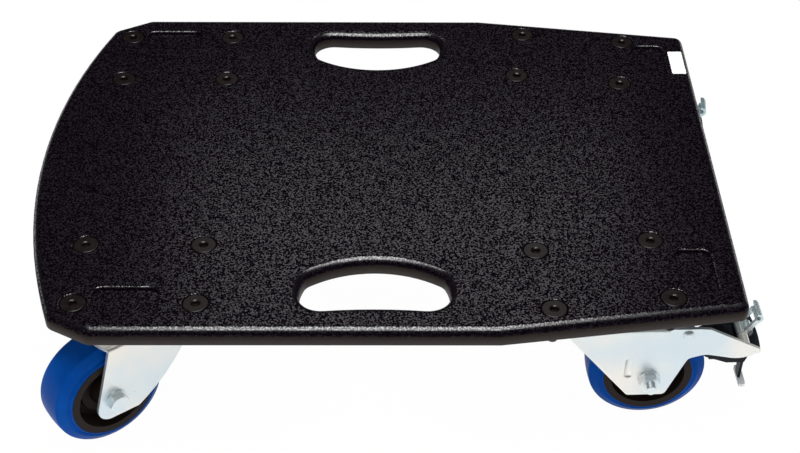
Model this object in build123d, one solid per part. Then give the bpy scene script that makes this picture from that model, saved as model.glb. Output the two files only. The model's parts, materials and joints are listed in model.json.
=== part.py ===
"""Rolling board for a loudspeaker cabinet.

A flat coated deck with a curved front, tapered rear flanks, two hand slots and
four shallow foot pockets stands on four swivel castors. The two rear castors
carry a rocker brake. Millimetres, Z up, floor at zero, front towards -X.
"""
import os
from math import asin, atan2, cos, degrees, pi, radians, sin, sqrt, tan

from build123d import *

# deck plan
deck_thickness = 13.0
deck_half_width = 188.6
deck_front_reach = 241.35
deck_rear_reach = 248.1
front_arc_radius = 507.8
corner_cut_width = 15.65
corner_cut_length = 27.7
taper_length = 164.05
taper_angle = 8.37
front_corner_radius = 9.2
rear_corner_radius = 7.0
deck_edge_radius = 5.8
deck_lower_radius = 1.2

# hand slots
slot_centre = 2.0
slot_half_length = 50.05
slot_rim = 24.7
slot_width = 46.3
slot_inner_bow = 15.2
slot_outer_bow = 3.05
slot_end_bow = 4.2
slot_inner_corner = 9.8
slot_outer_corner = 15.1
slot_lower_radius = 1.4

# foot pockets
pocket_length = 42.6
pocket_width = 23.6
pocket_corner_radius = 5.5
pocket_depth = 2.4
pocket_edge_radius = 1.5
seat_edge_radius = 0.9
front_pocket_setback = 79.85
front_pocket_inset = 31.0
rear_pocket_setback = 30.8
rear_pocket_inset = 60.8

# castor layout
front_castor_setback = 86.55
rear_castor_setback = 93.3
castor_inset = 57.3
rear_plate_turn = 7.8
hole_pitch_long = 80.0
hole_pitch_short = 60.0
swivel_front_left = -143.5
swivel_front_right = 162.0
swivel_rear_left = 2.0
swivel_rear_right = -7.0

# castor screws and nuts
screw_radius = 4.0
screw_hole_radius = 4.3
screw_length = 26.4
screw_head_radius = 8.5
screw_head_height = 2.0
screw_head_sink = 0.15
screw_head_round = 0.7
screw_socket_across = 5.0
screw_socket_depth = 2.6
socket_mouth = 1.0
screw_seat_clearance = 0.3
nut_across = 13.0
nut_height = 5.0
thread_clearance = 0.03
thread_pitch = 1.25
thread_depth = 0.5
hexagon_chamfer = 0.95
turning_margin = 0.2

# wheel
wheel_radius = 41.0
tyre_half_width = 14.5
tyre_sidewall_radius = 35.0
tread_half_width = 10.9
tread_crown = 0.7
tread_edge_radius = 1.5
tyre_lip_radius = 31.4
tyre_lip_foot_radius = 32.3
tyre_lip_half_width = 16.5
tyre_lip_round = 0.35
rim_outer_radius = 30.55
rim_inner_radius = 25.4
rim_half_width = 16.9
rim_web_half = 3.5
rim_draft = 1.0
rim_step_radius = 18.5
rim_step_height = 3.0
hub_radius = 11.5
hub_half_width = 17.2
bearing_outer_radius = 8.5
bearing_half_width = 16.8
sleeve_radius = 6.0
running_clearance = 0.08

# swivel head
castor_height = 107.0
plain_trail = 38.35
braked_trail = 34.9
plate_length = 105.0
plate_width = 80.0
plate_thickness = 3.0
plate_corner_radius = 9.0
ball_radius = 3.5
ball_count = 14
ball_pitch_radius = 18.5
race_outer_radius = 25.0
race_inner_radius = 13.0
race_gap = 3.6
race_clearance = 0.3
seat_clearance = 0.02
king_pin_radius = 6.0
king_pin_clearance = 0.08
king_head_radius = 10.0
king_head_height = 5.0
head_gap = 0.3

# fork
fork_sheet = 2.5
fork_half_width = 21.0
fork_bend_radius = 3.5
fork_crown_drop = 33.0
crown_rear_radius = 44.3
crown_lip = 1.0
lip_width = 0.6
fork_front_top = -27.6
fork_foot_drop = 93.5
foot_corner_radius = 4.0
plain_front_middle_reach = -4.2
plain_front_middle_drop = 72.1
plain_front_foot = 22.3
plain_rear_top = 39.0
plain_rear_foot = 55.5
plain_nose_radius = 9.5
braked_front_foot = 20.7
braked_rear_foot = 46.8
dimple_width = 6.0
dimple_height = 18.5
dimple_depth = 1.3
dimple_reach = 20.1
dimple_drop = 67.9

# axle
axle_radius = 4.0
axle_hole_clearance = 0.06
axle_washer_radius = 8.0
axle_washer_thickness = 1.2
axle_head_across = 13.0
axle_head_height = 5.2
axle_nut_height = 5.2
axle_end = 32.7
thrust_radius = 10.0
thrust_gap = 0.3

# rear fork arms
arm_ridge_drop = 33.4
arm_ridge_reach = 66.0
arm_shoulder_reach = 72.6
arm_shoulder_drop = 34.0
arm_tip_reach = 109.2
arm_tip_top_drop = 53.4
arm_tip_bottom_drop = 55.4
arm_belly_reach = 96.5
arm_belly_drop = 61.9
arm_throat_reach = 71.5
arm_throat_drop = 56.6
arm_root_reach = 60.0
arm_root_drop = 60.2
arm_tip_round = 0.9
arm_belly_radius = 22.0
arm_throat_radius = 14.0
arm_root_radius = 5.0

# brake
pivot_reach = 57.9
pivot_drop = 38.6
pivot_radius = 2.4
rivet_head_radius = 4.2
rivet_head_height = 2.2
lever_clearance = 0.7
lever_sheet = 2.0
lever_eye_radius = 4.2
lever_neck_reach = 2.2
lever_neck_rise = 3.4
lever_chest_reach = 14.8
lever_chest_depth = 5.2
lever_web_front = 78.0
lever_web_lead = 4.0
lever_web_tail = 110.0
lever_tail_bow = 1.4
lever_flange_height = 11.0
lever_flange_front = 88.0
lever_flange_rear = 100.1
lever_flange_lean = 4.0
lever_web_gap = 0.3
leg_reach = 102.2
leg_top_half_width = 7.0
leg_foot_half_width = 3.0
tread_drop = 97.0
tread_length = 4.8
tread_thickness = 2.2
tread_half_span = 10.0
shoe_half_width = 11.5
shoe_thickness = 9.0
shoe_heel = 3.0
shoe_bottom_drop = 70.5
shoe_lock_gap = 0.35
rocker_reach = 99.0
rocker_drop = 52.6
rocker_pin_radius = 2.2
rocker_hub_radius = 3.8
rocker_cam_radius = 4.0
rocker_cam_offset = 4.0
rocker_cam_half = 4.6
rocker_half_width = 7.6
rocker_sheet = 2.6
rocker_link_width = 3.0
rocker_tread_reach = 107.6
rocker_tread_drop = 37.4
rocker_tread_radius = 3.8
rocker_tread_sheet = 1.8
rocker_tread_back = 0.6
rocker_rib_count = 5
rocker_rib_depth = 0.6
rocker_swing = 35.0
collar_radius = 3.6

# places on the deck that follow from its outline
corner_cut_half_width = deck_half_width - corner_cut_width
taper_start = deck_rear_reach - taper_length
slot_outer_reach = deck_half_width - slot_rim
slot_inner_reach = slot_outer_reach - slot_width
front_pocket_x = front_pocket_setback - deck_front_reach
front_pocket_y = deck_half_width - front_pocket_inset
rear_pocket_x = deck_rear_reach - rear_pocket_setback
rear_pocket_y = deck_half_width - rear_pocket_inset
front_castor_x = front_castor_setback - deck_front_reach
rear_castor_x = deck_rear_reach - rear_castor_setback
castor_y = deck_half_width - castor_inset

# heights and reaches that follow from the sizes above
deck_bottom = castor_height
deck_top = castor_height + deck_thickness
plate_bottom = deck_bottom - plate_thickness
crown_top = deck_top - fork_crown_drop
crown_bottom = crown_top - fork_sheet
crown_end = crown_rear_radius + crown_lip
fork_inside = fork_half_width - fork_sheet
axle_height = wheel_radius
ball_height = (plate_bottom + crown_top) / 2
cam_bottom_drop = rocker_drop + rocker_cam_radius
lever_web_top_drop = cam_bottom_drop + lever_web_gap
cam_reach = rocker_reach + rocker_cam_offset
cam_fall = rocker_cam_offset * sin(radians(rocker_swing))
lever_swing = degrees(asin(cam_fall / (cam_reach - pivot_reach)))


def at_drop(drop):
    """Height above the floor of a point given as a drop below the deck face."""
    return deck_top - drop


def side_plane(offset):
    """Plane of the castor's side view at a sideways offset, drawn in reach and height."""
    return Plane(origin=(0, offset, 0), x_dir=(1, 0, 0), z_dir=(0, -1, 0))


def side_slab(face, start, end):
    """Side view face thickened from one sideways offset to another."""
    low = min(start, end)
    high = max(start, end)
    placed = side_plane(high) * face
    return extrude(placed, amount=high - low)


def cross_cylinder(radius, reach, height, start, end):
    """Cylinder lying across the castor between two sideways offsets."""
    disc = Pos(reach, height) * Circle(radius)
    return side_slab(disc, start, end)


def hexagon_block(across, low_chamfer, high_chamfer, height):
    """Upright hexagonal block whose corners are turned off at the chosen ends."""
    block = extrude(RegularPolygon(across / 2, 6, major_radius=False), amount=height)
    corner = across / 2 / cos(pi / 6) + turning_margin
    face_radius = across / 2 * hexagon_chamfer
    fall = (corner - face_radius) * tan(pi / 6)
    points = [(0, 0), (face_radius if low_chamfer else corner, 0)]
    points.append((corner, fall if low_chamfer else fall / 2))
    points.append((corner, height - fall if high_chamfer else height - fall / 2))
    points.append((face_radius if high_chamfer else corner, height))
    points.append((0, height))
    cone = revolve(Plane.XZ * make_face(Polyline(*points, close=True)), axis=Axis.Z)
    return block & cone


def cross_hexagon(across, start, end):
    """Hexagonal block on the axle line between two sideways offsets, its outer end chamfered."""
    side = 1 if end > start else -1
    block = hexagon_block(across, False, True, abs(end - start))
    seat = Plane(origin=(0, start, axle_height), x_dir=(1, 0, 0), z_dir=(0, side, 0))
    return seat * block


def thread_points(radius, start, end):
    """Zigzag of radius and position that stands for a thread between two positions."""
    count = int(abs(end - start) / thread_pitch)
    step = thread_pitch if end > start else -thread_pitch
    points = []
    for index in range(count):
        points.append((radius, start + step * index))
        points.append((radius - thread_depth, start + step * (index + 0.5)))
    return points


def turned(points):
    """Solid turned about the wheel axle from points given as radius and sideways offset."""
    outline = Polyline(*[(radius, offset) for radius, offset in points], close=True)
    face = make_face(outline)
    placed = Plane(origin=(0, 0, 0), x_dir=(1, 0, 0), z_dir=(0, 0, 1)) * face
    ring = revolve(placed, axis=Axis.Y)
    return Pos(0, 0, axle_height) * ring


def single(shape):
    """The one solid of a shape."""
    return shape.solids()[0]


def corner_of(face, reach, drop):
    """Corner of a side view face next to a place given as reach and drop below the deck face."""
    return face.vertices().sort_by_distance((reach, at_drop(drop), 0))[0]


def deck_outline():
    """Plan of the deck: curved front, cut corners, straight flanks, tapered rear."""
    arc_centre = front_arc_radius - deck_front_reach
    cut_x = arc_centre - sqrt(front_arc_radius**2 - corner_cut_half_width**2)
    flank_x = cut_x + corner_cut_length
    rear_half = deck_half_width - (deck_rear_reach - taper_start) * tan(radians(taper_angle))
    cut_left = (cut_x, -corner_cut_half_width)
    cut_right = (cut_x, corner_cut_half_width)
    front = ThreePointArc(cut_right, (-deck_front_reach, 0), cut_left)
    rest = Polyline(
        cut_left,
        (flank_x, -deck_half_width),
        (taper_start, -deck_half_width),
        (deck_rear_reach, -rear_half),
        (deck_rear_reach, rear_half),
        (taper_start, deck_half_width),
        (flank_x, deck_half_width),
        cut_right,
    )
    face = make_face([front] + list(rest.edges()))
    corners = face.vertices().sort_by(Axis.X)
    face = fillet(corners[-2:], rear_corner_radius)
    corners = face.vertices().sort_by(Axis.X)
    return fillet(corners[:4], front_corner_radius)


def slot_outline(side):
    """Bean shaped hand slot; side is -1 or 1 for the flank it sits at."""
    left = slot_centre - slot_half_length + slot_end_bow
    right = slot_centre + slot_half_length - slot_end_bow
    inner_end = slot_inner_reach + slot_inner_bow
    outer_end = slot_outer_reach + slot_outer_bow
    middle = (inner_end + outer_end) / 2
    inner = ThreePointArc((left, inner_end), (slot_centre, slot_inner_reach), (right, inner_end))
    rear = ThreePointArc((right, inner_end), (right + slot_end_bow, middle), (right, outer_end))
    outer = ThreePointArc((right, outer_end), (slot_centre, slot_outer_reach), (left, outer_end))
    front = ThreePointArc((left, outer_end), (left - slot_end_bow, middle), (left, inner_end))
    face = make_face([inner, rear, outer, front])
    face = fillet(face.vertices().sort_by(Axis.Y)[:2], slot_inner_corner)
    face = fillet(face.vertices().sort_by(Axis.Y)[-2:], slot_outer_corner)
    if side < 0:
        face = mirror(face, about=Plane.XZ)
    return face


def hole_points():
    """Screw positions of one castor about its own centre."""
    points = []
    for along in (-1, 1):
        for across in (-1, 1):
            points.append((along * hole_pitch_long / 2, across * hole_pitch_short / 2))
    return points


def screw_spots():
    """Plan positions of all castor screws."""
    spots = []
    for castor in castors:
        for x, y in hole_points():
            spot = Pos(castor["x"], castor["y"]) * Rot(0, 0, castor["plate_turn"]) * Pos(x, y)
            spots.append(spot)
    return spots


def small_rims(board, widest):
    """Edges of the openings in the deck's face that are narrower than a given width."""
    face = board.faces().filter_by(Plane.XY).sort_by(Axis.Z)[-1]
    rims = []
    for wire in face.inner_wires():
        if wire.bounding_box().size.X < widest:
            rims += wire.edges()
    return rims


def make_deck():
    """Coated board with rounded edges, hand slots, screw seats and foot pockets."""
    board = extrude(Pos(0, 0, deck_bottom) * deck_outline(), amount=deck_thickness)
    for side in (-1, 1):
        board -= extrude(Pos(0, 0, deck_bottom) * slot_outline(side), amount=deck_thickness)
    board = fillet(board.faces().sort_by(Axis.Z)[-1].edges(), deck_edge_radius)
    board = fillet(board.faces().sort_by(Axis.Z)[0].outer_wire().edges(), deck_lower_radius)
    slot_wires = board.faces().sort_by(Axis.Z)[0].inner_wires()
    board = fillet([edge for wire in slot_wires for edge in wire.edges()], slot_lower_radius)
    front_pocket = RectangleRounded(pocket_length, pocket_width, pocket_corner_radius)
    rear_pocket = RectangleRounded(pocket_width, pocket_length, pocket_corner_radius)
    front_block = extrude(front_pocket, amount=pocket_depth)
    rear_block = extrude(rear_pocket, amount=pocket_depth)
    for side in (-1, 1):
        floor = deck_top - pocket_depth
        board -= Pos(front_pocket_x, side * front_pocket_y, floor) * front_block
        board -= Pos(rear_pocket_x, side * rear_pocket_y, floor) * rear_block
    board = fillet(small_rims(board, slot_half_length), pocket_edge_radius)
    seat_depth = screw_head_height + screw_head_sink
    for spot in screw_spots():
        board -= spot * Pos(0, 0, deck_bottom) * extrude(Circle(screw_hole_radius), amount=deck_thickness)
        seat = extrude(Circle(screw_head_radius + screw_seat_clearance), amount=seat_depth)
        board -= spot * Pos(0, 0, deck_top - seat_depth) * seat
    board = fillet(small_rims(board, pocket_width), seat_edge_radius)
    return single(board)


def make_screw():
    """Flat headed connector screw with a hexagon socket, head face at zero, free end threaded."""
    free_start = -(deck_thickness - screw_head_sink + plate_thickness + nut_height)
    points = [(0, 0), (screw_head_radius, 0), (screw_head_radius, -screw_head_height)]
    points.append((screw_radius, -screw_head_height))
    points += thread_points(screw_radius, free_start, -screw_length)
    points += [(screw_radius - thread_depth, -screw_length), (0, -screw_length)]
    body = revolve(Plane.XZ * make_face(Polyline(*points, close=True)), axis=Axis.Z)
    body = fillet(body.edges().filter_by(GeomType.CIRCLE).sort_by(Axis.Z)[-1], screw_head_round)
    socket = RegularPolygon(screw_socket_across / 2, 6, major_radius=False)
    body -= extrude(Pos(0, 0, -screw_socket_depth) * socket, amount=screw_socket_depth)
    socket_radius = screw_socket_across / 2
    mouth = Cone(socket_radius, socket_radius + socket_mouth, screw_head_round)
    return single(body - Pos(0, 0, -screw_head_round / 2) * mouth)


def make_nut():
    """Hexagon nut with its upper face at zero."""
    nut = Pos(0, 0, -nut_height) * hexagon_block(nut_across, True, True, nut_height)
    nut -= extrude(Pos(0, 0, -nut_height) * Circle(screw_radius + thread_clearance), amount=nut_height)
    return single(nut)


def race_ring(low, high, groove_radius):
    """Ball race ring between two heights with a groove around the ball circle."""
    ring = Circle(race_outer_radius) - Circle(race_inner_radius)
    band = extrude(Pos(0, 0, low) * ring, amount=high - low)
    groove = Pos(0, 0, ball_height) * Torus(ball_pitch_radius, groove_radius)
    return band - groove


def make_top_plate():
    """Castor top plate with four screw holes and the upper ball race."""
    outline = RectangleRounded(plate_length, plate_width, plate_corner_radius)
    plate = extrude(Pos(0, 0, plate_bottom) * outline, amount=plate_thickness)
    for x, y in hole_points():
        plate -= Pos(x, y, plate_bottom) * extrude(Circle(screw_hole_radius), amount=plate_thickness)
    plate += race_ring(ball_height + race_gap / 2, plate_bottom, ball_radius + race_clearance)
    bore = king_pin_radius + thread_clearance
    plate -= Pos(0, 0, plate_bottom) * extrude(Circle(bore), amount=plate_thickness)
    return single(plate)


def make_king_pin():
    """King pin riveted in the top plate, its lower head under the fork crown."""
    head_top = crown_bottom - head_gap
    shaft = extrude(Pos(0, 0, head_top) * Circle(king_pin_radius), amount=deck_bottom - head_top)
    head = extrude(Circle(king_head_radius), amount=king_head_height)
    head = fillet(head.faces().sort_by(Axis.Z)[0].edges(), king_head_height * 0.6)
    return single(shaft + Pos(0, 0, head_top - king_head_height) * head)


def make_balls():
    """Ring of swivel bearing balls."""
    balls = []
    for index in range(ball_count):
        turn = Rot(0, 0, 360 * index / ball_count)
        balls.append(turn * Pos(ball_pitch_radius, 0, ball_height) * Sphere(ball_radius))
    return Compound(children=[single(ball) for ball in balls])


def fork_outline(braked):
    """Side view of the fork; a braked fork runs on into two rear arms."""
    foot = at_drop(fork_foot_drop)
    start = (fork_front_top, crown_top)
    if braked:
        points = [
            start,
            (braked_front_foot, foot),
            (braked_rear_foot, foot),
            (arm_root_reach, at_drop(arm_root_drop)),
            (arm_throat_reach, at_drop(arm_throat_drop)),
            (arm_belly_reach, at_drop(arm_belly_drop)),
            (arm_tip_reach, at_drop(arm_tip_bottom_drop)),
            (arm_tip_reach, at_drop(arm_tip_top_drop)),
            (arm_shoulder_reach, at_drop(arm_shoulder_drop)),
            (arm_ridge_reach, at_drop(arm_ridge_drop)),
            (crown_end, at_drop(arm_ridge_drop)),
            (crown_end, crown_top),
        ]
        face = make_face(Polyline(*points, close=True))
        face = fillet(face.vertices().sort_by(Axis.Y)[:2], foot_corner_radius)
        face = fillet(face.vertices().sort_by(Axis.X)[-2:], arm_tip_round)
        face = fillet(corner_of(face, arm_belly_reach, arm_belly_drop), arm_belly_radius)
        face = fillet(corner_of(face, arm_throat_reach, arm_throat_drop), arm_throat_radius)
        return fillet(corner_of(face, arm_root_reach, arm_root_drop), arm_root_radius)
    middle = (plain_front_middle_reach, at_drop(plain_front_middle_drop))
    front = ThreePointArc(start, middle, (plain_front_foot, foot))
    rest = Polyline(
        (plain_front_foot, foot),
        (plain_rear_foot, foot),
        (plain_rear_top, crown_bottom),
        (crown_end, crown_bottom),
        (crown_end, crown_top),
        start,
    )
    face = make_face([front] + list(rest.edges()))
    face = fillet(corner_of(face, plain_rear_foot, fork_foot_drop), plain_nose_radius)
    return fillet(corner_of(face, plain_front_foot, fork_foot_drop), foot_corner_radius)


def pressed_dent(side):
    """Upright capsule that leaves a dished dent in a fork plate; side is -1 or 1 for the plate."""
    radius = (dimple_width**2 / 4 + dimple_depth**2) / (2 * dimple_depth)
    straight = dimple_height - dimple_width
    dent = Cylinder(radius, straight)
    for end in (-1, 1):
        dent += Pos(0, 0, end * straight / 2) * Sphere(radius)
    return Pos(dimple_reach, side * (fork_half_width + radius - dimple_depth), at_drop(dimple_drop)) * dent


def make_fork(braked):
    """Pressed fork: crown with a round rear edge, two side plates and the lower ball race."""
    trail = braked_trail if braked else plain_trail
    reach = 2 * arm_tip_reach
    outer = Pos(0, crown_top / 2) * Rectangle(2 * fork_half_width, crown_top)
    outer = fillet(outer.vertices().sort_by(Axis.Y)[-2:], fork_bend_radius)
    inner = Rectangle(2 * fork_inside, 2 * crown_bottom)
    inner = fillet(inner.vertices().sort_by(Axis.Y)[-2:], fork_bend_radius - fork_sheet)
    section = Plane(origin=(-reach, 0, 0), x_dir=(0, 1, 0), z_dir=(1, 0, 0)) * (outer - inner)
    channel = extrude(section, amount=2 * reach)
    outline = fork_outline(braked)
    arms = Pos(crown_end + reach / 2, axle_height) * Rectangle(reach, 2 * deck_top)
    bent = outline - arms if braked else outline
    fork = channel & side_slab(bent, -fork_half_width, fork_half_width)
    open_half = fork_inside - lip_width if braked else 2 * fork_half_width
    open_low = crown_bottom - fork_bend_radius if braked else crown_bottom
    opening = Pos(reach / 2, 0) * Rectangle(reach, 2 * open_half) - Circle(crown_rear_radius)
    fork -= extrude(Pos(0, 0, open_low) * opening, amount=fork_sheet + 2 * fork_bend_radius)
    if braked:
        for side in (-1, 1):
            fork += side_slab(outline & arms, side * fork_inside, side * fork_half_width)
    fork += race_ring(crown_top, ball_height - race_gap / 2, ball_radius + seat_clearance)
    bore = king_pin_radius + king_pin_clearance
    fork -= Pos(0, 0, crown_bottom) * extrude(Circle(bore), amount=fork_sheet)
    hole = axle_radius + axle_hole_clearance
    fork -= cross_cylinder(hole, trail, axle_height, -fork_half_width, fork_half_width)
    if braked:
        for side in (-1, 1):
            fork -= pressed_dent(side)
        pins = [(pivot_radius, pivot_reach, pivot_drop), (rocker_pin_radius, rocker_reach, rocker_drop)]
        for radius, along, drop in pins:
            hole = radius + thread_clearance
            fork -= cross_cylinder(hole, along, at_drop(drop), -fork_half_width, fork_half_width)
    return single(fork)


def make_axle_bolt():
    """Hexagon bolt through both fork plates; head on the +Y side, threaded end past the nut."""
    seat = fork_half_width + axle_washer_thickness
    free_start = -(seat + axle_nut_height)
    points = [(0, seat), (axle_radius, seat)]
    points += thread_points(axle_radius, free_start, -axle_end)
    points += [(axle_radius - thread_depth, -axle_end), (0, -axle_end)]
    bolt = turned(points) + cross_hexagon(axle_head_across, seat, seat + axle_head_height)
    return single(bolt)


def make_axle_nut():
    """Hexagon nut on the -Y side."""
    seat = fork_half_width + axle_washer_thickness
    nut = cross_hexagon(axle_head_across, -seat, -seat - axle_nut_height)
    nut -= cross_cylinder(axle_radius + thread_clearance, 0, axle_height, -seat, -axle_end)
    return single(nut)


def make_axle_washers():
    """Plain washers under the bolt head and the nut."""
    washers = []
    for side in (-1, 1):
        start = side * fork_half_width
        end = side * (fork_half_width + axle_washer_thickness)
        washer = cross_cylinder(axle_washer_radius, 0, axle_height, start, end)
        washer -= cross_cylinder(axle_radius + axle_hole_clearance, 0, axle_height, start, end)
        washers.append(single(washer))
    return Compound(children=washers)


def make_axle_spacers():
    """Bearing sleeve clamped between the fork plates and its two thrust washers."""
    sleeve = cross_cylinder(sleeve_radius, 0, axle_height, -fork_inside, fork_inside)
    sleeve -= cross_cylinder(axle_radius + axle_hole_clearance, 0, axle_height, -fork_inside, fork_inside)
    pieces = [single(sleeve)]
    for side in (-1, 1):
        start = side * (hub_half_width + thrust_gap)
        end = side * fork_inside
        washer = cross_cylinder(thrust_radius, 0, axle_height, start, end)
        washer -= cross_cylinder(sleeve_radius + thread_clearance, 0, axle_height, start, end)
        pieces.append(single(washer))
    return Compound(children=pieces)


def make_rim():
    """Moulded rim: barrel, recessed web with a raised ring and a long hub."""
    step_half = rim_web_half + rim_step_height
    half = [
        (bearing_outer_radius, hub_half_width),
        (hub_radius, hub_half_width),
        (hub_radius + rim_draft, step_half),
        (rim_step_radius, step_half),
        (rim_step_radius + rim_draft, rim_web_half),
        (rim_inner_radius - rim_draft, rim_web_half),
        (rim_inner_radius, rim_half_width),
        (rim_outer_radius, rim_half_width),
    ]
    other = [(radius, -offset) for radius, offset in reversed(half)]
    return single(turned(half + other))


def make_tyre():
    """Elastic tyre: a lip around the rim, flat sidewalls, sloped shoulders and a crowned tread."""
    shoulder = wheel_radius - tread_crown
    half = [
        (rim_outer_radius, tyre_lip_half_width),
        (tyre_lip_radius, tyre_lip_half_width),
        (tyre_lip_foot_radius, tyre_half_width),
        (tyre_sidewall_radius, tyre_half_width),
        (shoulder, tread_half_width),
    ]
    other = [(radius, -offset) for radius, offset in reversed(half)]
    tread = ThreePointArc(half[-1], (wheel_radius, 0), other[0])
    left = Polyline(*other)
    right = Polyline(*half)
    seat = Line(other[-1], half[0])
    face = make_face(list(right.edges()) + [tread] + list(left.edges()) + [seat])
    face = fillet(face.vertices().sort_by(Axis.X)[-4:], tread_edge_radius)
    face = fillet(face.vertices().sort_by(Axis.X)[2:6], tyre_lip_round)
    ring = revolve(face, axis=Axis.Y)
    return single(Pos(0, 0, axle_height) * ring)


def make_bearing():
    """Bearing bush pressed in the hub, running on the sleeve."""
    bore = sleeve_radius + running_clearance
    points = [
        (bore, -bearing_half_width),
        (bearing_outer_radius, -bearing_half_width),
        (bearing_outer_radius, bearing_half_width),
        (bore, bearing_half_width),
    ]
    return single(turned(points))


def make_brake_pivot():
    """Rivet through both arms on which the brake lever swings, with domed heads."""
    height = at_drop(pivot_drop)
    pin = cross_cylinder(pivot_radius, pivot_reach, height, -fork_half_width, fork_half_width)
    dome_radius = (rivet_head_radius**2 + rivet_head_height**2) / (2 * rivet_head_height)
    for side in (-1, 1):
        centre = side * (fork_half_width + rivet_head_height - dome_radius)
        dome = Pos(pivot_reach, centre, height) * Sphere(dome_radius)
        start = side * fork_half_width
        end = side * (fork_half_width + 2 * rivet_head_height)
        pin += dome & cross_cylinder(2 * rivet_head_radius, pivot_reach, height, start, end)
    return single(pin)


def lever_side():
    """Side view of one lever cheek from the pivot eye to the tail flange."""
    eye = Pos(pivot_reach, at_drop(pivot_drop)) * Circle(lever_eye_radius)
    web = at_drop(lever_web_top_drop)
    low = web - lever_flange_height
    cheek = make_face(
        Polyline(
            (pivot_reach + lever_neck_reach, at_drop(pivot_drop) + lever_neck_rise),
            (lever_web_front + lever_web_lead, web),
            (lever_flange_rear + lever_flange_lean, web),
            (lever_flange_rear, low),
            (lever_flange_front, low),
            (pivot_reach + lever_chest_reach, web - lever_chest_depth),
            (pivot_reach - lever_neck_reach, at_drop(pivot_drop) - lever_neck_rise),
            close=True,
        )
    )
    return eye + cheek


def make_brake_lever():
    """Pressed brake lever: two cheeks, a web under the rocker and a leg to the lower tread."""
    outer = fork_inside - lever_clearance
    inner = outer - lever_sheet
    web = at_drop(lever_web_top_drop)
    lever = Part()
    for side in (-1, 1):
        lever += side_slab(lever_side(), side * inner, side * outer)
    tail = lever_web_tail
    plan = make_face(
        [
            Line((lever_web_front, -outer), (lever_web_front, outer)),
            Line((lever_web_front, outer), (tail, outer)),
            ThreePointArc((tail, outer), (tail + lever_tail_bow, 0), (tail, -outer)),
            Line((tail, -outer), (lever_web_front, -outer)),
        ]
    )
    lever += extrude(Pos(0, 0, web - lever_sheet) * plan, amount=lever_sheet)
    leg_low = at_drop(tread_drop)
    leg = make_face(
        Polyline(
            (-leg_top_half_width, web - lever_sheet),
            (leg_top_half_width, web - lever_sheet),
            (leg_foot_half_width, leg_low),
            (-leg_foot_half_width, leg_low),
            close=True,
        )
    )
    leg_plane = Plane(origin=(leg_reach, 0, 0), x_dir=(0, 1, 0), z_dir=(1, 0, 0))
    lever += extrude(leg_plane * leg, amount=lever_sheet)
    hole = pivot_radius + running_clearance
    lever -= cross_cylinder(hole, pivot_reach, at_drop(pivot_drop), -outer, outer)
    return single(lever)


def make_brake_tread():
    """Plated foot strip under the lower end of the lever leg."""
    top = at_drop(tread_drop)
    front = leg_reach
    outline = RectangleRounded(tread_length, 2 * tread_half_span, tread_length * 0.45)
    strip = extrude(outline, amount=tread_thickness)
    return single(Pos(front + tread_length / 2, 0, top - tread_thickness) * strip)


def make_brake_shoe():
    """Rubber brake block under the lever web; its hollow face meets the tread when locked."""
    web_under = at_drop(lever_web_top_drop) - lever_sheet
    low = at_drop(shoe_bottom_drop)
    face_reach = wheel_radius + shoe_lock_gap
    pivot = (pivot_reach, at_drop(pivot_drop))
    hollow_centre = turned_point((braked_trail, axle_height), pivot, lever_swing)
    back = lever_web_front + shoe_thickness
    rise = (web_under - low) / 3
    outline = make_face(
        Polyline(
            (lever_web_front, web_under),
            (back + shoe_heel, web_under),
            (back + shoe_heel, low + rise),
            (back, low),
            (braked_trail + wheel_radius * 0.5, low),
            (braked_trail + wheel_radius * 0.5, low + rise),
            close=True,
        )
    )
    outline -= Pos(*hollow_centre) * Circle(face_reach)
    block = side_slab(outline, -shoe_half_width, shoe_half_width)
    return block.solids().sort_by(Axis.X)[-1]


def turned_point(point, centre, angle):
    """Point turned about a centre in the side view, counter-clockwise in degrees."""
    dx = point[0] - centre[0]
    dz = point[1] - centre[1]
    c = cos(radians(angle))
    s = sin(radians(angle))
    return (centre[0] + c * dx - s * dz, centre[1] + s * dx + c * dz)


def make_brake_rocker():
    """Plated rocker: cam hub on its pin, two narrow cheeks and a rolled, ribbed tread open to the front."""
    hub = (rocker_reach, at_drop(rocker_drop))
    roll = (rocker_tread_reach, at_drop(rocker_tread_drop))
    inside = rocker_tread_radius - rocker_tread_sheet
    foot = (roll[0], roll[1] - (rocker_tread_radius + inside) / 2)
    slope = degrees(atan2(foot[1] - hub[1], foot[0] - hub[0]))
    length = sqrt((foot[0] - hub[0]) ** 2 + (foot[1] - hub[1]) ** 2)
    middle = ((hub[0] + foot[0]) / 2, (hub[1] + foot[1]) / 2)
    cheek = Pos(*middle) * SlotCenterToCenter(length, rocker_link_width, rotation=slope)
    rocker = cross_cylinder(rocker_hub_radius, *hub, -rocker_half_width, rocker_half_width)
    cam = (rocker_reach + rocker_cam_offset, at_drop(rocker_drop))
    rocker += cross_cylinder(rocker_cam_radius, *cam, -rocker_cam_half, rocker_cam_half)
    for side in (-1, 1):
        rocker += side_slab(cheek, side * (rocker_half_width - rocker_sheet), side * rocker_half_width)
    front = Rectangle(2 * rocker_tread_radius, 4 * rocker_tread_radius)
    front = Pos(-rocker_tread_back - rocker_tread_radius, 0) * front
    tread = Circle(rocker_tread_radius) - Circle(inside) - front
    rocker += side_slab(Pos(*roll) * tread, -rocker_half_width, rocker_half_width)
    pitch = 2 * rocker_half_width / (rocker_rib_count + 1)
    for index in range(rocker_rib_count):
        middle = -rocker_half_width + pitch * (index + 1)
        start = middle - pitch / 5
        end = middle + pitch / 5
        ring = cross_cylinder(rocker_tread_radius, *roll, start, end)
        core = cross_cylinder(rocker_tread_radius - rocker_rib_depth, *roll, start, end)
        rocker -= ring - core
    bore = rocker_pin_radius + running_clearance
    rocker -= cross_cylinder(bore, *hub, -rocker_half_width, rocker_half_width)
    return single(rocker)


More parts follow.
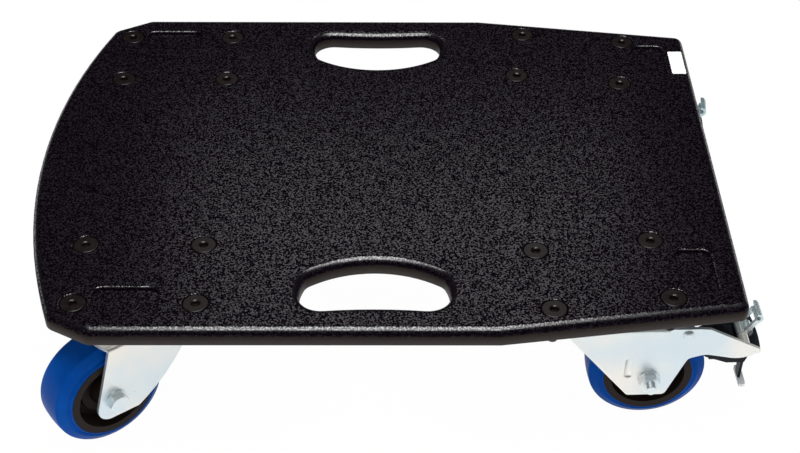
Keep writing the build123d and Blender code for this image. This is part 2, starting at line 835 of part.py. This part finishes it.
def make_rocker_pin():
    """Pin of the rocker, riveted flush in both arms, with a distance collar at each side."""
    place = (rocker_reach, at_drop(rocker_drop))
    pin = cross_cylinder(rocker_pin_radius, *place, -fork_half_width, fork_half_width)
    for side in (-1, 1):
        start = side * (rocker_half_width + head_gap)
        pin += cross_cylinder(collar_radius, *place, start, side * fork_inside)
    return single(pin)


def front_castor(name, side, swivel):
    """Place of a plain castor; side is -1 or 1 for the flank it stands at."""
    place = {"name": name, "x": front_castor_x, "y": side * castor_y}
    return place | {"plate_turn": 0.0, "swivel": swivel, "braked": False}


def rear_castor(name, side, swivel):
    """Place of a braked castor, whose plate turns with the tapered flank."""
    place = {"name": name, "x": rear_castor_x, "y": side * castor_y}
    return place | {"plate_turn": -side * rear_plate_turn, "swivel": swivel, "braked": True}


castors = [
    front_castor("front_left", -1, swivel_front_left),
    front_castor("front_right", 1, swivel_front_right),
    rear_castor("rear_left", -1, swivel_rear_left),
    rear_castor("rear_right", 1, swivel_rear_right),
]

nodes = {}
nodes["deck"] = make_deck()

screw = make_screw()
screw_top = deck_top - screw_head_sink
nodes["castor_screws"] = Compound(children=[spot * Pos(0, 0, screw_top) * screw for spot in screw_spots()])

nut = make_nut()
nodes["castor_nuts"] = Compound(children=[spot * Pos(0, 0, plate_bottom) * nut for spot in screw_spots()])

king_pin = make_king_pin()
nodes["king_pins"] = Compound(children=[Pos(c["x"], c["y"]) * king_pin for c in castors])

top_plate = make_top_plate()
plain_fork = make_fork(False)
braked_fork = make_fork(True)
balls = make_balls()
axle_pieces = {
    "axle_bolt": make_axle_bolt(),
    "axle_nut": make_axle_nut(),
    "axle_washers": make_axle_washers(),
    "axle_spacers": make_axle_spacers(),
    "rim": make_rim(),
    "tyre": make_tyre(),
    "wheel_bearing": make_bearing(),
}
brake_pieces = {
    "brake_pivot": make_brake_pivot(),
    "brake_lever": make_brake_lever(),
    "brake_tread": make_brake_tread(),
    "brake_shoe": make_brake_shoe(),
    "brake_rocker": make_brake_rocker(),
    "rocker_pin": make_rocker_pin(),
}

for castor in castors:
    centre = Pos(castor["x"], castor["y"])
    fixed = centre * Rot(0, 0, castor["plate_turn"])
    turning = centre * Rot(0, 0, castor["swivel"])
    nodes["top_plate_" + castor["name"]] = fixed * top_plate
    fork = braked_fork if castor["braked"] else plain_fork
    nodes["fork_" + castor["name"]] = turning * fork
    trail = braked_trail if castor["braked"] else plain_trail
    nodes["swivel_balls_" + castor["name"]] = turning * balls
    for name, piece in axle_pieces.items():
        nodes[name + "_" + castor["name"]] = turning * Pos(trail, 0, 0) * piece
    if castor["braked"]:
        for name, piece in brake_pieces.items():
            nodes[name + "_" + castor["name"]] = turning * piece

# the row frame stands at the middle of the outer box, on the floor
low = min(shape.bounding_box().min.X for shape in nodes.values())
high = max(shape.bounding_box().max.X for shape in nodes.values())
shift = -(low + high) / 2

os.makedirs("parts", exist_ok=True)
for name, shape in nodes.items():
    export_step(Pos(shift, 0, 0) * shape, os.path.join("parts", name + ".step"))
print("frame shift", round(shift, 4), "lever swing", round(lever_swing, 4))
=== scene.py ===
"""Looks of the rolling board: coated deck, plated castors, blue tyres, blank label and a plain studio."""
import json
from math import cos, radians, sin

import bpy
from mathutils import Matrix, Vector


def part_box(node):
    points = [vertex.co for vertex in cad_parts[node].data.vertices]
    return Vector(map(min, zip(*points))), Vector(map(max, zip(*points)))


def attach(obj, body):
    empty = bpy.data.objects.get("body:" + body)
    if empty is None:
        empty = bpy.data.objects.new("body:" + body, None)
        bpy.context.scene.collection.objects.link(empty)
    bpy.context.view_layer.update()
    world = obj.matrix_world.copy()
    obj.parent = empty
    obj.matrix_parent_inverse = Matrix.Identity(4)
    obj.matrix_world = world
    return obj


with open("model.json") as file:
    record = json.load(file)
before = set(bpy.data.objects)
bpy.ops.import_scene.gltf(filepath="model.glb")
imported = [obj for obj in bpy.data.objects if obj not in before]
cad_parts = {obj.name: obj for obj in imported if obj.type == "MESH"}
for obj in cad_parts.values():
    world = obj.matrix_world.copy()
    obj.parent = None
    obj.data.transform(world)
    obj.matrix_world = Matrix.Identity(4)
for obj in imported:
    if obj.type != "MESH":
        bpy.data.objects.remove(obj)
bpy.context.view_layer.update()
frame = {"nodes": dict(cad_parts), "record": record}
nodes = frame["nodes"]

deck_low, deck_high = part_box("deck")
deck_top = deck_high.z
deck_rear = deck_high.x


class Level:
    """A socket of a shading; arithmetic on it adds Math nodes."""

    def __init__(self, shading, socket):
        self.shading = shading
        self.socket = socket

    def reckon(self, operation, first, second):
        return self.shading.add("ShaderNodeMath", {"operation": operation}, {0: first, 1: second})

    def __add__(self, other):
        return self.reckon("ADD", self, other)

    def __radd__(self, other):
        return self.reckon("ADD", other, self)

    def __sub__(self, other):
        return self.reckon("SUBTRACT", self, other)

    def __rsub__(self, other):
        return self.reckon("SUBTRACT", other, self)

    def __mul__(self, other):
        return self.reckon("MULTIPLY", self, other)

    def __rmul__(self, other):
        return self.reckon("MULTIPLY", other, self)


class Shading:
    """The nodes of a finish or of the surroundings."""

    def __init__(self, tree):
        self.tree = tree
        self.tree.nodes.clear()

    def feed(self, socket, value):
        """Link a level to a socket, or set the socket to a number, vector or colour."""
        if isinstance(value, Level):
            self.tree.links.new(value.socket, socket)
        elif socket.type == "RGBA":
            socket.default_value = (*value, 1.0)
        else:
            socket.default_value = value

    def add(self, kind, settings=None, sockets=None, output=0):
        """Add a node: its settings first, then the values or links of its sockets."""
        node = self.tree.nodes.new(kind)
        for name, value in (settings or {}).items():
            setattr(node, name, value)
        for name, value in (sockets or {}).items():
            self.feed(node.inputs[name], value)
        return Level(self, node.outputs[output])

    def rays(self):
        """Masks of the rays from the camera, from glossy surfaces and through clear ones."""
        kinds = ("Is Camera Ray", "Is Glossy Ray", "Is Transmission Ray")
        return [self.add("ShaderNodeLightPath", output=kind) for kind in kinds]


class Finish(Shading):
    """A surface finish: one material and the nodes that make it."""

    def __init__(self, name):
        self.material = bpy.data.materials.new(name)
        self.material.use_nodes = True
        super().__init__(self.material.node_tree)
        self.shader = self.tree.nodes.new("ShaderNodeBsdfPrincipled")
        self.output = self.tree.nodes.new("ShaderNodeOutputMaterial")
        self.tree.links.new(self.shader.outputs[0], self.output.inputs["Surface"])

    def place(self):
        """Object coordinates, in metres from the row frame's origin."""
        return self.add("ShaderNodeTexCoord", output="Object")

    def height(self):
        """Height above the floor."""
        return self.add("ShaderNodeSeparateXYZ", None, {0: self.place()}, output="Z")

    def noise(self, scale, detail, roughness, stretch=None):
        """Soft random pattern, drawn out along an axis if asked."""
        place = self.place()
        if stretch:
            place = self.add("ShaderNodeMapping", None, {"Vector": place, "Scale": stretch})
        sockets = {"Vector": place, "Scale": scale, "Detail": detail, "Roughness": roughness}
        return self.add("ShaderNodeTexNoise", None, sockets)

    def between(self, value, low, high):
        """Smooth step of a value from 0 at low to 1 at high."""
        settings = {"interpolation_type": "SMOOTHSTEP"}
        return self.add("ShaderNodeMapRange", settings, {0: value, 1: low, 2: high})

    def blend(self, amount, first, second):
        """Colour between two colours."""
        settings = {"data_type": "RGBA"}
        return self.add("ShaderNodeMix", settings, {"Factor": amount, 6: first, 7: second}, output=2)

    def bump(self, height, strength, distance):
        """Fine relief for the Normal socket."""
        sockets = {"Strength": strength, "Distance": distance, "Height": height}
        return self.add("ShaderNodeBump", None, sockets)

    def set(self, **sockets):
        """Feed the shader's sockets and hand over the finished material."""
        for name, value in sockets.items():
            self.feed(self.shader.inputs[name.replace("_", " ")], value)
        return self.material

    def constant(self, name, value):
        """A number that is the same all over the surface."""
        self.shader.inputs[name].default_value = value


# Drops below the deck's face at which the coating changes on its way round the edge
pebbles_gone = 0.0058
pebbles_full = 0.0042
lean_starts = 0.00005
lean_full = 0.0004
lean_fades = 0.0017
lean_gone = 0.0021
steep_starts = 0.0025
steep_full = 0.0030
foot_starts = 0.0045

# How much of the sheen each part of the rounded edge keeps
steep_loss = 0.85
lean_sheen = 0.38
foot_sheen = 0.28
edge_sheen = 0.02


def deck_coating():
    """Black pebbled coating on the deck's face, smooth brown-grey on its edge."""
    coat = Finish("deck_coating")
    height = coat.height()

    def sunk(none, full):
        """Mask that grows from one drop below the face to another."""
        return coat.between(height, deck_top - none, deck_top - full)

    face = sunk(pebbles_gone, pebbles_full)
    pebble = coat.noise(scale=905.0, detail=1.0, roughness=0.4)
    gloss = coat.between(pebble, low=0.495, high=0.590)
    cloud = coat.noise(scale=14.0, detail=2.0, roughness=0.5)
    dark = coat.blend(cloud, (0.0013, 0.0002, 0.0015), (0.0019, 0.0005, 0.0021))
    grained = coat.blend(gloss, dark, (0.0056, 0.0031, 0.0076))
    rub = coat.noise(scale=60.0, detail=3.0, roughness=0.55, stretch=(1.0, 1.0, 3.0))
    edge = coat.blend(rub, (0.0180, 0.0125, 0.0100), (0.0260, 0.0185, 0.0150))
    colour = coat.blend(face, edge, grained)

    face_roughness = cloud * 0.08 + 0.50
    edge_roughness = rub * 0.15 + 0.36
    roughness = face * face_roughness + (1 - face) * edge_roughness
    relief = coat.bump(pebble * face + rub * 0.05, strength=1.0, distance=0.0003)

    lean = sunk(lean_starts, lean_full) - sunk(lean_fades, lean_gone)
    steep = sunk(steep_starts, steep_full)
    foot = coat.between(height, deck_top - foot_starts, deck_low.z)
    grain = gloss * (1 - steep * steep_loss) + (1 - gloss) * lean * lean_sheen
    sheen = face * grain + (1 - face) * (foot * foot_sheen + edge_sheen)

    coat.constant("Specular IOR Level", 0.02)
    coat.constant("Coat Roughness", 0.23)
    coat.constant("Coat IOR", 1.94)
    return coat.set(Base_Color=colour, Roughness=roughness, Coat_Weight=sheen, Normal=relief)


def zinc_plating(name, cool, warm, roughness):
    """Bright plated steel with faint clouded tints and fine rolled grain."""
    zinc = Finish(name)
    pale = (0.93, 0.93, 0.92)
    tint = zinc.between(zinc.noise(scale=16.0, detail=2.0, roughness=0.5), low=0.36, high=0.64)
    bloom = zinc.noise(scale=70.0, detail=4.0, roughness=0.6)
    colour = zinc.blend(bloom * 0.35, zinc.blend(tint, cool, warm), pale)
    grain = zinc.noise(scale=420.0, detail=3.0, roughness=0.6, stretch=(1.0, 1.0, 0.25))
    dullness = bloom * 0.16 + grain * 0.08 + (roughness - 0.12)
    relief = zinc.bump(grain * 0.4 + bloom * 0.6, strength=0.12, distance=0.0004)
    zinc.constant("Metallic", 0.72)
    return zinc.set(Base_Color=colour, Roughness=dullness, Normal=relief)


def blackened_steel(name, low, high, roughness, shine):
    """Satin black coated steel, slightly worn."""
    steel = Finish(name)
    wear = steel.noise(scale=180.0, detail=4.0, roughness=0.62)
    grain = steel.noise(scale=1400.0, detail=2.0, roughness=0.5)
    colour = steel.blend(steel.between(wear, low=0.42, high=0.70), low, high)
    dullness = wear * 0.2 + grain * 0.1 + (roughness - 0.15)
    relief = steel.bump(grain, strength=0.15, distance=0.0002)
    steel.constant("Specular IOR Level", shine)
    return steel.set(Base_Color=colour, Roughness=dullness, Normal=relief)


def tyre_rubber():
    """Blue elastic rubber, a little dull and dusted."""
    rubber = Finish("tyre_rubber")
    deep_blue = (0.0003, 0.051, 0.275)
    clear_blue = (0.0005, 0.072, 0.360)
    dust_blue = (0.02, 0.13, 0.42)
    cloud = rubber.noise(scale=38.0, detail=3.0, roughness=0.55)
    speck = rubber.noise(scale=260.0, detail=4.0, roughness=0.65)
    dust = rubber.between(speck, low=0.58, high=0.80)
    blue = rubber.blend(rubber.between(cloud, low=0.3, high=0.7), deep_blue, clear_blue)
    colour = rubber.blend(dust * 0.12, blue, dust_blue)
    skin = rubber.noise(scale=1100.0, detail=2.0, roughness=0.55)
    dullness = cloud * 0.14 + dust * 0.12 + 0.30
    relief = rubber.bump(skin * 0.5 + cloud * 0.5, strength=0.10, distance=0.0004)
    rubber.constant("Specular IOR Level", 0.04)
    return rubber.set(Base_Color=colour, Roughness=dullness, Normal=relief)


def rim_plastic():
    """Dark moulded plastic with a faint brown cast."""
    plastic = Finish("rim_plastic")
    cloud = plastic.noise(scale=120.0, detail=4.0, roughness=0.6)
    skin = plastic.noise(scale=1500.0, detail=2.0, roughness=0.5)
    colour = plastic.blend(cloud, (0.012, 0.0078, 0.0060), (0.020, 0.0135, 0.0108))
    relief = plastic.bump(skin, strength=0.14, distance=0.0002)
    plastic.constant("Specular IOR Level", 0.12)
    return plastic.set(Base_Color=colour, Roughness=cloud * 0.2 + 0.36, Normal=relief)


def plain_finish(name, low, high, roughness, scale):
    """Plain finish, faintly clouded, with a fine skin."""
    plain = Finish(name)
    cloud = plain.noise(scale, detail=4.0, roughness=0.6)
    colour = plain.blend(cloud, low, high)
    dullness = cloud * 0.2 + (roughness - 0.1)
    relief = plain.bump(cloud, strength=0.15, distance=0.0003)
    return plain.set(Base_Color=colour, Roughness=dullness, Normal=relief)


def polished_balls():
    """Polished bearing steel."""
    steel = Finish("polished_balls")
    haze = steel.noise(scale=300.0, detail=3.0, roughness=0.6)
    colour = steel.blend(haze, (0.66, 0.67, 0.69), (0.80, 0.81, 0.83))
    steel.constant("Metallic", 1.0)
    return steel.set(Base_Color=colour, Roughness=haze * 0.12 + 0.10)


def label_paper():
    """White paper of the blank label."""
    paper = Finish("label_paper")
    fibre = paper.noise(scale=900.0, detail=4.0, roughness=0.6)
    colour = paper.blend(fibre, (0.84, 0.84, 0.84), (0.93, 0.93, 0.92))
    relief = paper.bump(fibre, strength=0.1, distance=0.0001)
    return paper.set(Base_Color=colour, Roughness=fibre * 0.2 + 0.45, Normal=relief)


slot_finishes = {
    "deck_coat": deck_coating(),
    "black_steel": blackened_steel(
        "screw_black", (0.0050, 0.0026, 0.0024), (0.0092, 0.0054, 0.0050), roughness=0.28, shine=0.40
    ),
    "zinc": zinc_plating("zinc_plating", (0.69, 0.81, 0.87), (0.93, 0.90, 0.83), roughness=0.32),
    "ball_steel": polished_balls(),
    "rim": rim_plastic(),
    "tyre": tyre_rubber(),
    "bearing": plain_finish(
        "bearing_nylon", (0.50, 0.48, 0.43), (0.66, 0.64, 0.58), roughness=0.5, scale=200.0
    ),
    "brake_rubber": plain_finish(
        "brake_rubber", (0.010, 0.010, 0.010), (0.022, 0.021, 0.021), roughness=0.62, scale=240.0
    ),
}

# Brake pieces whose finish differs from the rest of their slot; the lever's and the rocker's dark colours are
# painted shade
brake_finishes = {
    # The lever is plated like the fork; its near-black slate colour is painted shade from under the deck
    "brake_lever": blackened_steel(
        "lever_painted_shade", (0.008, 0.010, 0.014), (0.018, 0.023, 0.029), roughness=0.50, shine=0.12
    ),
    # The rocker is plated like the fork; its darker teal tints are painted shade from under the deck
    "brake_rocker": zinc_plating("rocker_zinc_painted_shade", (0.40, 0.56, 0.60), (0.74, 0.80, 0.80), roughness=0.24),
    "brake_tread": plain_finish(
        "tread_zinc", (0.80, 0.83, 0.84), (0.92, 0.93, 0.92), roughness=0.40, scale=160.0
    ),
}

for part in frame["record"]["subparts"]:
    name = part["node"]
    material = slot_finishes[part["material_slot"]]
    for piece, finish in brake_finishes.items():
        if name.startswith(piece):
            material = finish
    nodes[name].data.materials.clear()
    nodes[name].data.materials.append(material)


def only(piece):
    """Make a piece the only selected and the active object."""
    bpy.ops.object.select_all(action="DESELECT")
    piece.select_set(True)
    bpy.context.view_layer.objects.active = piece


def settle(piece, name, material, body):
    """Name a finished piece, put its place into its mesh and let it ride."""
    only(piece)
    bpy.ops.object.transform_apply(location=True, rotation=True, scale=True)
    piece.name = name
    piece.data.name = name
    piece.data.materials.clear()
    piece.data.materials.append(material)
    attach(piece, body)


label_width = 0.0110
label_length = 0.0315
label_thickness = 0.0003
label_corner = 0.0012
label_corner_steps = 6
label_rim = label_thickness * 0.3
label_rim_steps = 2
label_from_rear = 0.00935
label_side = 0.12475


def blank_label():
    """Plain white label near the far rear corner, with rounded corners and a softened rim."""
    bpy.ops.object.select_all(action="DESELECT")
    middle = (deck_rear - label_from_rear, label_side, deck_top + label_thickness / 2)
    bpy.ops.mesh.primitive_cube_add(size=1.0, location=middle)
    label = bpy.context.object
    label.scale = (label_width, label_length, label_thickness)
    bpy.ops.object.transform_apply(location=False, rotation=False, scale=True)
    bpy.ops.object.mode_set(mode="EDIT")
    bpy.ops.mesh.select_mode(type="EDGE")
    bpy.ops.mesh.select_all(action="DESELECT")
    bpy.ops.object.mode_set(mode="OBJECT")
    for edge in label.data.edges:
        first, second = (label.data.vertices[v].co for v in edge.vertices)
        edge.select = abs(first.z - second.z) > label_thickness / 2
    bpy.ops.object.mode_set(mode="EDIT")
    bpy.ops.mesh.bevel(offset=label_corner, segments=label_corner_steps)
    bpy.ops.object.mode_set(mode="OBJECT")
    rim = label.modifiers.new("rim", "BEVEL")
    rim.width = label_rim
    rim.segments = label_rim_steps
    rim.limit_method = "ANGLE"
    only(label)
    bpy.ops.object.modifier_apply(modifier=rim.name)
    settle(label, "blank_label", label_paper(), "board")


blank_label()

white = (1.0, 1.0, 1.0)
floor_size = 12.0
floor_colour = (0.88, 0.88, 0.88)
floor_seen = 0.985


def studio_floor():
    """Pale floor that shows white to the camera and to reflections and keeps a faint shadow."""
    bpy.ops.object.select_all(action="DESELECT")
    bpy.ops.mesh.primitive_plane_add(size=floor_size, location=(0, 0, 0))
    floor = bpy.context.object
    floor.name = "studio_floor"
    ground = Finish("studio_floor")
    ground.set(Base_Color=floor_colour)
    ground.constant("Roughness", 0.9)
    ground.constant("Specular IOR Level", 0.0)
    camera, glossy, through = ground.rays()
    seen = camera * floor_seen + glossy + through
    lit = Level(ground, ground.shader.outputs[0])
    glow = ground.add("ShaderNodeEmission", None, {"Color": white, "Strength": 1.0})
    shown = ground.add("ShaderNodeMixShader", None, {0: seen, 1: lit, 2: glow})
    ground.feed(ground.output.inputs["Surface"], shown)
    floor.data.materials.append(ground.material)


horizon_strength = 1.0
ceiling_strength = 0.03
ceiling_starts = 0.03
fill_strength = 0.40


def studio_world():
    """White surroundings near the horizon under a dim ceiling; as light on the object they count for less."""
    world = bpy.data.worlds.new("studio")
    bpy.context.scene.world = world
    world.use_nodes = True
    room = Shading(world.node_tree)
    camera, glossy, through = room.rays()
    direction = room.add("ShaderNodeTexCoord", output="Generated")
    upward = room.add("ShaderNodeSeparateXYZ", None, {0: direction}, output="Z")
    steps = {0: upward, 1: 0.0, 2: ceiling_starts, 3: horizon_strength, 4: ceiling_strength}
    mirrored = room.add("ShaderNodeMapRange", {"interpolation_type": "SMOOTHSTEP"}, steps)
    mix = {"Factor": glossy, "A": fill_strength, "B": mirrored}
    falling = room.add("ShaderNodeMix", None, mix, output="Result")
    seen = room.add("ShaderNodeMath", {"operation": "MAXIMUM"}, {0: camera, 1: through})
    mix = {"Factor": seen, "A": falling, "B": horizon_strength}
    strength = room.add("ShaderNodeMix", None, mix, output="Result")
    back = room.add("ShaderNodeBackground", None, {"Color": white, "Strength": strength})
    output = room.tree.nodes.new("ShaderNodeOutputWorld")
    room.feed(output.inputs["Surface"], back)


def softbox(name, place, aim, width, height, power):
    """Rectangular lamp facing a point."""
    lamp = bpy.data.lights.new(name, "AREA")
    lamp.shape = "RECTANGLE"
    lamp.size = width
    lamp.size_y = height
    lamp.energy = power
    holder = bpy.data.objects.new(name, lamp)
    bpy.context.scene.collection.objects.link(holder)
    holder.location = place
    holder.rotation_euler = (Vector(aim) - Vector(place)).to_track_quat("-Z", "Y").to_euler()
    return holder


def studio_lamps():
    """Lamp above the near side, a small card behind and a broad fill that leaves no reflection."""
    softbox(
        "overhead_softbox", place=(0.02, -0.25, 1.50), aim=(0.02, -0.25, deck_top),
        width=0.85, height=1.3, power=22.5,
    )
    softbox(
        "back_card", place=(0.02, 1.0, 1.08), aim=(0.02, -0.05, deck_top),
        width=0.7, height=0.4, power=0.60,
    )
    front_fill = softbox(
        "front_fill", place=(0.0, -1.9, 0.9), aim=(0.0, 0.0, 0.06),
        width=3.0, height=1.6, power=7.0,
    )
    front_fill.visible_glossy = False


camera_elevation = 38.892
camera_azimuth = -0.504
camera_roll = 0.387
camera_distance = 1.1223
camera_lens = 73.116
camera_sensor = 36.0
camera_near = 0.01
aim_from_deck_rear = 0.22906
aim_side = -0.08175


def photo_camera():
    """Camera at the photograph's viewing angle."""
    tilt = radians(camera_elevation)
    turn = radians(camera_azimuth)
    roll = radians(camera_roll)
    back = Vector((sin(turn) * cos(tilt), -cos(turn) * cos(tilt), sin(tilt)))
    right = Vector((0, 0, 1)).cross(back).normalized()
    up = back.cross(right)
    across = right * cos(roll) + up * sin(roll)
    upward = up * cos(roll) - right * sin(roll)
    target = Vector((deck_rear - aim_from_deck_rear, aim_side, deck_top))
    eye = target + back * camera_distance
    lens = bpy.data.cameras.new("photo_camera")
    lens.sensor_fit = "HORIZONTAL"
    lens.sensor_width = camera_sensor
    lens.lens = camera_lens
    lens.clip_start = camera_near
    holder = bpy.data.objects.new("photo_camera", lens)
    bpy.context.scene.collection.objects.link(holder)
    turned = Matrix((across, upward, back)).transposed().to_4x4()
    holder.matrix_world = Matrix.Translation(eye) @ turned
    bpy.context.scene.camera = holder


studio_floor()
studio_world()
studio_lamps()
photo_camera()
bpy.context.scene.view_settings.view_transform = "Standard"
